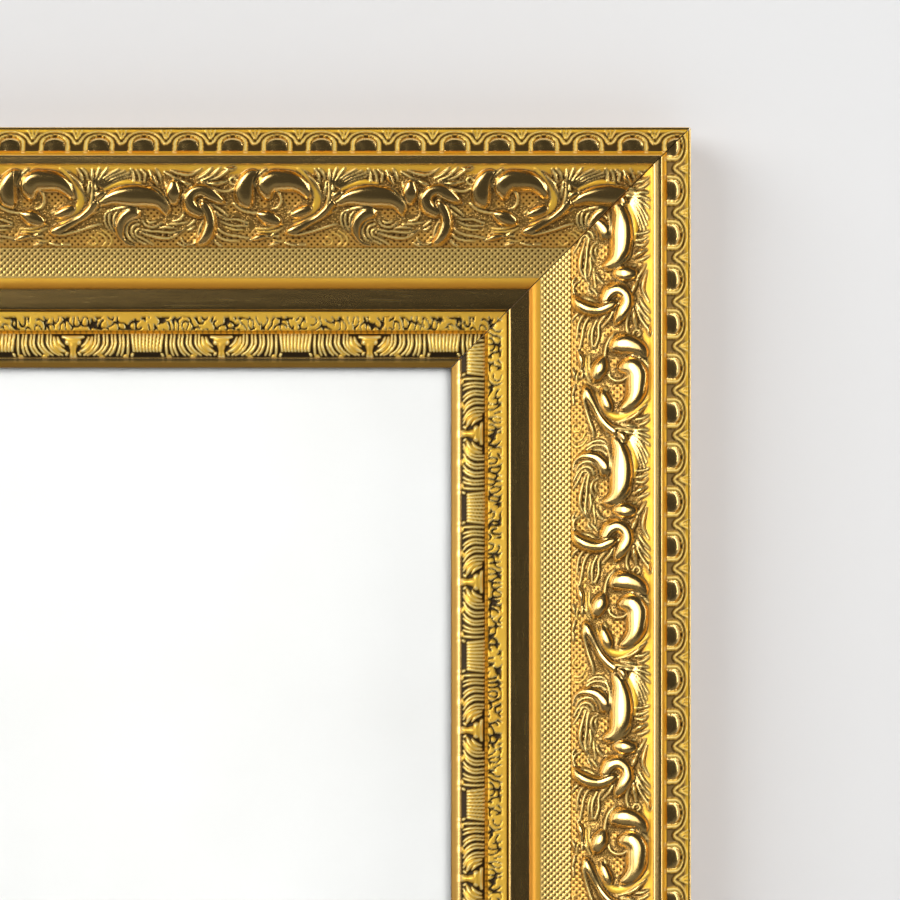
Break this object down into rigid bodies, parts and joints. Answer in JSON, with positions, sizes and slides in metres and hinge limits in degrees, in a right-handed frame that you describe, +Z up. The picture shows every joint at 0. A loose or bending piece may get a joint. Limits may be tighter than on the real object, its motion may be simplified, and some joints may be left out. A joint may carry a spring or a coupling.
{
  "type": "ornate gilded frame",
  "caption": "Deep gilded picture frame with mitred rails, applied scroll and egg-and-dart runs, a carved slip, glass, backing, turn buttons and ring hangers.",
  "frame": {"origin": "centre of the frame on the wall plane, which the backs of the bumpers touch", "axes": "+X to the right as seen from the front, +Z up, +Y into the wall, so the front faces -Y"},
  "size_m": [0.45, 0.0386, 0.55],
  "materials": {
    "gilded_wood": "gloss",
    "gilded_slip": "gloss",
    "gilded_composition": "gloss",
    "clear_glass": "polished",
    "white_card": "matte",
    "fibreboard": "matte",
    "plated_steel": "satin",
    "bare_steel": "satin",
    "bumper_rubber": "matte"
  },
  "bodies": {
    "frame": {"rail_top": "gilded_wood", "slip_top": "gilded_slip", "scroll_run_top": "gilded_composition", "egg_and_dart_top": "gilded_composition", "rail_right": "gilded_wood", "slip_right": "gilded_slip", "scroll_run_right": "gilded_composition", "egg_and_dart_right": "gilded_composition", "rail_bottom": "gilded_wood", "slip_bottom": "gilded_slip", "scroll_run_bottom": "gilded_composition", "egg_and_dart_bottom": "gilded_composition", "rail_left": "gilded_wood", "slip_left": "gilded_slip", "scroll_run_left": "gilded_composition", "egg_and_dart_left": "gilded_composition", "glass": "clear_glass", "picture_card": "white_card", "backing_board": "fibreboard", "turn_button_screws": "plated_steel", "hanger_strap_left": "plated_steel", "hanger_strap_right": "plated_steel", "hanger_screws": "plated_steel", "rail_v_nails": "bare_steel", "slip_v_nails": "bare_steel", "wall_bumpers": "bumper_rubber"},
    "turn_button_top_1": {"turn_button_top_1": "plated_steel"},
    "turn_button_top_2": {"turn_button_top_2": "plated_steel"},
    "turn_button_right_1": {"turn_button_right_1": "plated_steel"},
    "turn_button_right_2": {"turn_button_right_2": "plated_steel"},
    "turn_button_bottom_1": {"turn_button_bottom_1": "plated_steel"},
    "turn_button_bottom_2": {"turn_button_bottom_2": "plated_steel"},
    "turn_button_left_1": {"turn_button_left_1": "plated_steel"},
    "turn_button_left_2": {"turn_button_left_2": "plated_steel"},
    "hanger_ring_left": {"hanger_ring_left": "plated_steel"},
    "hanger_ring_right": {"hanger_ring_right": "plated_steel"}
  },
  "joints": [
    {"name": "turn_button_top_1_pivot", "type": "hinge", "parent": "frame", "child": "turn_button_top_1", "pos_m": [-0.085, -0.0043, 0.209], "axis": [0, 1, 0], "continuous": true},
    {"name": "turn_button_top_2_pivot", "type": "hinge", "parent": "frame", "child": "turn_button_top_2", "pos_m": [0.085, -0.0043, 0.209], "axis": [0, 1, 0], "continuous": true},
    {"name": "turn_button_right_1_pivot", "type": "hinge", "parent": "frame", "child": "turn_button_right_1", "pos_m": [0.159, -0.0043, 0.115], "axis": [0, 1, 0], "continuous": true},
    {"name": "turn_button_right_2_pivot", "type": "hinge", "parent": "frame", "child": "turn_button_right_2", "pos_m": [0.159, -0.0043, -0.115], "axis": [0, 1, 0], "continuous": true},
    {"name": "turn_button_bottom_1_pivot", "type": "hinge", "parent": "frame", "child": "turn_button_bottom_1", "pos_m": [0.085, -0.0043, -0.209], "axis": [0, 1, 0], "continuous": true},
    {"name": "turn_button_bottom_2_pivot", "type": "hinge", "parent": "frame", "child": "turn_button_bottom_2", "pos_m": [-0.085, -0.0043, -0.209], "axis": [0, 1, 0], "continuous": true},
    {"name": "turn_button_left_1_pivot", "type": "hinge", "parent": "frame", "child": "turn_button_left_1", "pos_m": [-0.159, -0.0043, -0.115], "axis": [0, 1, 0], "continuous": true},
    {"name": "turn_button_left_2_pivot", "type": "hinge", "parent": "frame", "child": "turn_button_left_2", "pos_m": [-0.159, -0.0043, 0.115], "axis": [0, 1, 0], "continuous": true},
    {"name": "hanger_ring_left_swing", "type": "hinge", "parent": "frame", "child": "hanger_ring_left", "pos_m": [-0.189, -0.00265, 0.14], "axis": [0, 0, 1], "range_deg": [-4.5, 175]},
    {"name": "hanger_ring_right_swing", "type": "hinge", "parent": "frame", "child": "hanger_ring_right", "pos_m": [0.189, -0.00265, 0.14], "axis": [0, 0, -1], "range_deg": [-4.5, 175]}
  ]
}
